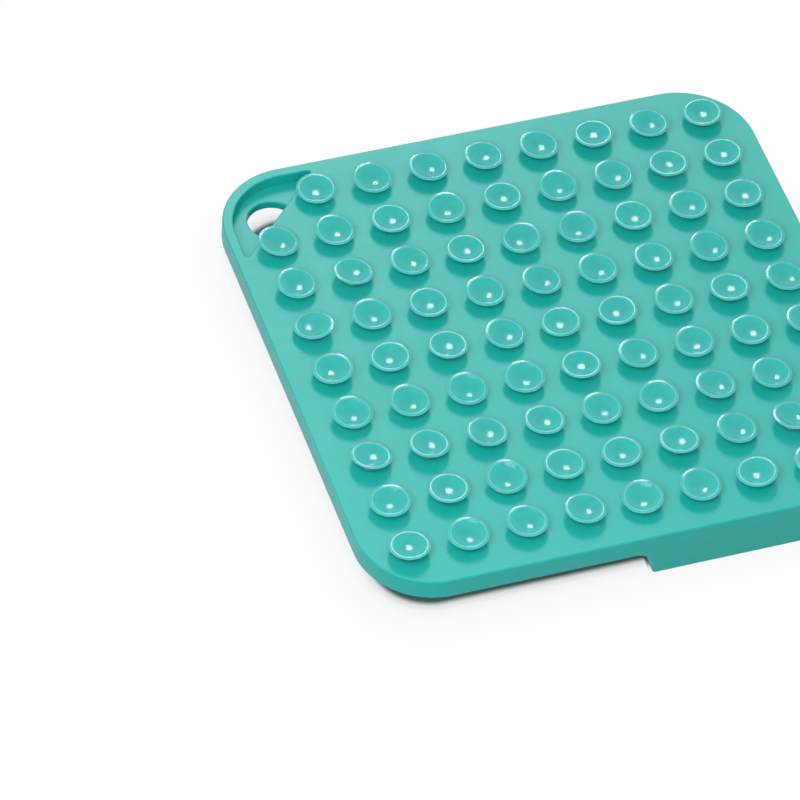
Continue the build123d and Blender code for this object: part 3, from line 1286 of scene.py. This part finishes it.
@dataclass
class Studio:
    """Floor, lights and camera."""

    frame: MatFrame
    # The camera, as found from the grid of cups in the photograph
    camera_azimuth: float = math.radians(-22.27)
    camera_elevation: float = math.radians(47.74)
    camera_roll: float = math.radians(5.17)
    camera_distance: float = 2.1663
    camera_right: float = -0.05643
    camera_up: float = -0.02766
    camera_lens: float = 278.93
    camera_sensor: float = 36.0  # in millimetres, as the lens
    camera_reach: tuple[float, float] = (0.1, 20.0)  # nearest and farthest that it shows
    floor_half: float = 4.0
    floor_colour: Colour = (0.52, 0.52, 0.52, 1.0)
    floor_white: float = 0.985  # share of the open floor's look that is plain white, for the eye only
    # Colour of the painted shadow under the mat
    painted_shadow_colour: Colour = (0.03, 0.18, 0.165, 1.0)
    # Painted shadow on the floor: distance from the mat's outline and how open the floor is there, from deep
    # under the mat outwards
    painted_shadow_fade: Pairs = (
        (-0.014, 0.02),
        (-0.0080, 0.04),
        (-0.0072, 0.26),
        (-0.0060, 0.68),
        (-0.0035, 0.87),
        (0.0, 0.94),
        (0.012, 1.0),
    )
    # The painted shade strip along the step's foot: X where the floor is shut and where it is open again
    step_shade: tuple[float, float] = (-0.0001, -0.0012)
    # The painted shade strip's ends: distance from the mat's outline where the floor is shut and where it is
    # open again
    step_shade_end: tuple[float, float] = (-0.0060, -0.0020)
    world_strength: float = 0.42
    lamps: tuple[Softbox, ...] = (
        Softbox("key_light", math.radians(162.5), math.radians(40), 3.0, 0.52, 0.92, 21.3),
        Softbox("front_light", math.radians(-42), math.radians(50), 1.0, 0.68, 0.62, 5.95),
    )

    def build(self) -> None:
        """Sets up the studio."""
        self._floor()
        self._world()
        for lamp in self.lamps:
            self._hang(lamp)
        self._camera(Vector((0.0, 0.0, self.frame.cup_lips)))
        bpy.context.scene.view_settings.view_transform = "Standard"

    @staticmethod
    def _towards(azimuth: float, elevation: float) -> Vector:
        """Unit vector towards an azimuth, where 0 is the front, and an elevation."""
        level = math.cos(elevation)
        return Vector((math.sin(azimuth) * level, -math.cos(azimuth) * level, math.sin(elevation)))

    def _floor(self) -> None:
        """Lays the pale floor, which looks white to the eye and keeps the mat's shadow, with a painted shadow
        under the mat's edges.
        """
        Bench.clear()
        bpy.ops.mesh.primitive_plane_add(size=2 * self.floor_half, location=(0.0, 0.0, 0.0))
        floor = bpy.context.object
        floor.name = "studio_floor"
        made = bpy.data.materials.new("studio_floor")
        made.use_nodes = True
        desk = NodeDesk(made.node_tree)
        painted_shadow_openness = self._openness(desk)
        # Painted shadow: where the floor is less open, its colour goes to the shadow colour and its white
        # share falls
        colour = desk.mix(painted_shadow_openness, self.painted_shadow_colour, self.floor_colour)
        matt = desk.node("BsdfDiffuse", {}, {"Color": colour})
        white = desk.node("Emission", {}, {"Color": WHITE, "Strength": 1.0})
        share = desk.eye_rays() * painted_shadow_openness * self.floor_white
        surface = desk.node("MixShader", {}, {0: share, 1: matt, 2: white})
        desk.node("OutputMaterial", {}, {"Surface": surface})
        floor.data.materials.append(made)

    def _openness(self, desk: NodeDesk) -> Wire:
        """Works out how open the floor is, from its distance to the mat's rounded square outline and to the
        step's foot: a painted shadow, darkest under the mat.

        Args:
            desk: The floor material's desk.

        Returns:
            The wire of how open the floor is: 0 where the painted shadow is darkest, deep under the mat, 1 on
                the open floor.
        """
        straight = self.frame.half - MAT_CORNER
        place = desk.node("TexCoord", output="Object")
        folded = desk.node("VectorMath", {"operation": "ABSOLUTE"}, {0: place})
        past = desk.node("VectorMath", {"operation": "SUBTRACT"}, {0: folded, 1: (straight, straight, 0.0)})
        beyond = desk.node("VectorMath", {"operation": "MAXIMUM"}, {0: past, 1: (0.0, 0.0, 0.0)})
        reach = desk.node("VectorMath", {"operation": "LENGTH"}, {0: beyond}, output="Value")
        first, last = self.painted_shadow_fade[0][0], self.painted_shadow_fade[-1][0]
        stops = tuple(((distance - first) / (last - first), share) for distance, share in self.painted_shadow_fade)
        fade = desk.ramp((reach - (MAT_CORNER + first)) * (1.0 / (last - first)), stops)
        # The painted shade strip beside the step's foot, ending near the outline
        across = desk.node("SeparateXYZ", {}, {"Vector": place}, output="X")
        strip = ((across, self.step_shade), (reach - MAT_CORNER, self.step_shade_end))
        beside, ahead = (
            desk.node("MapRange", {"clamp": True}, {"Value": value, "From Min": shut, "From Max": clear})
            for value, (shut, clear) in strip
        )
        return fade * desk.node("Math", {"operation": "MAXIMUM"}, {0: beside, 1: ahead})

    def _world(self) -> None:
        """Surrounds the floor with soft white light, seen as plain white."""
        world = bpy.data.worlds.new("studio")
        bpy.context.scene.world = world
        world.use_nodes = True
        desk = NodeDesk(world.node_tree)
        soft = desk.node("Background", {}, {"Color": WHITE, "Strength": self.world_strength})
        plain = desk.node("Background", {}, {"Color": WHITE, "Strength": 1.0})
        both = desk.node("MixShader", {}, {0: desk.eye_rays(), 1: soft, 2: plain})
        desk.node("OutputWorld", {}, {"Surface": both})

    def _hang(self, lamp: Softbox) -> None:
        """Hangs a soft light.

        Args:
            lamp: What it is and where it hangs.
        """
        data = bpy.data.lights.new(lamp.name, "AREA")
        data.shape = "RECTANGLE"
        data.size, data.size_y = lamp.width, lamp.height
        data.energy = lamp.power
        hung = bpy.data.objects.new(lamp.name, data)
        bpy.context.scene.collection.objects.link(hung)
        towards = self._towards(lamp.azimuth, lamp.elevation)
        hung.location = towards * lamp.distance
        hung.rotation_mode = "QUATERNION"
        hung.rotation_quaternion = (-towards).to_track_quat("-Z", "Y")

    def _camera(self, target: Vector) -> None:
        """Sets up the camera at the photograph's viewing angle.

        Args:
            target: The middle of the plane of the cup lips.
        """
        back = self._towards(self.camera_azimuth, self.camera_elevation)
        level = Vector(Axis.Z.value).cross(back).normalized()
        upright = back.cross(level)
        turned, lean = math.cos(self.camera_roll), math.sin(self.camera_roll)
        right = level * turned + upright * lean
        up = upright * turned - level * lean
        data = bpy.data.cameras.new("photo_camera")
        data.sensor_width = self.camera_sensor
        data.lens = self.camera_lens
        data.clip_start, data.clip_end = self.camera_reach
        camera = bpy.data.objects.new("photo_camera", data)
        bpy.context.scene.collection.objects.link(camera)
        place = target + back * self.camera_distance + right * self.camera_right + up * self.camera_up
        pose = Matrix((right, up, back)).transposed().to_4x4()
        pose.translation = place
        camera.matrix_world = pose
        bpy.context.scene.camera = camera


@dataclass
class LickMat:
    """The whole mat, dressed."""

    frame: MatFrame
    moulding_finish: SiliconeFinish = SiliconeFinish(
        name="matte_silicone",
        dye_and_reflection=(0.012, 0.495, 0.442, 1.0),
        deep_dye_and_reflection=(0.010, 0.470, 0.418, 1.0),
        # the film of dust also paints part of the sheen
        dust_and_sheen_share=0.06,
        roughness=0.38,
        roughness_spread=0.06,
        grain_size=0.0005,
        grain_depth=0.00002,
    )
    cup_finish: SiliconeFinish = SiliconeFinish(
        name="glossy_silicone",
        # Lighter and redder than the moulding's dye: the extra is painted reflection of the white
        # surroundings
        dye_and_reflection=(0.033, 0.515, 0.471, 1.0),
        deep_dye_and_reflection=(0.030, 0.495, 0.451, 1.0),
        # painted highlight and glow of the lips' thin edges
        lip_highlight_colour=(0.16, 0.54, 0.53, 1.0),
        dust_and_sheen_share=0.02,
        roughness=0.12,
        roughness_spread=0.05,
        grain_size=0.002,
        grain_depth=0.00001,
        ripple_depth=0.00008,
        glow_share=1.0,
        glow_depth=0.0045,
    )
    press_travel: float = 0.0015  # how far the lips go down when the cups are pressed

    def build(self) -> None:
        """Models and dresses every piece, and ties each to the frame."""
        press_keep = 1.0 - self.press_travel / (self.frame.cup_lips - self.frame.back_face)
        matte = self.moulding_finish.material()
        glossy = self.cup_finish.material()
        moulding = Moulding(self.frame).build()
        body_nodes = ("base_sheet", "shallow_rim", "deep_rim", "divider_wall", "hang_tab")
        self._dress(moulding, matte, Slot.MAT, body_nodes)
        for node, zone in LickTextures(self.frame).build().items():
            self._dress(zone, matte, Slot.MAT, (node,))
        for row, piece in enumerate(SuctionCups(self.frame).build(), start=1):
            self._dress(piece, glossy, Slot.CUP, (f"suction_cup_row_{row}",))
            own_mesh(piece)

    @staticmethod
    def _dress(piece: Object, finish: Material, slot: Slot, nodes: tuple[str, ...]) -> None:
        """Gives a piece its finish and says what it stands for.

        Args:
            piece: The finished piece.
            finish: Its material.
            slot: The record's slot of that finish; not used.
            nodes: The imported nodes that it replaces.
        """
        piece.data.materials.clear()
        piece.data.materials.append(finish)
        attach(piece, MAT_BODY)
        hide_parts(*nodes)
        log.info("%s: %d faces, for %s", piece.name, len(piece.data.polygons), ", ".join(nodes))


def main() -> None:
    """Builds the mat and the studio."""
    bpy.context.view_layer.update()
    mat_frame = MatFrame.read()
    LickMat(mat_frame).build()
    Studio(mat_frame).build()


if __name__ == "__main__":
    main()
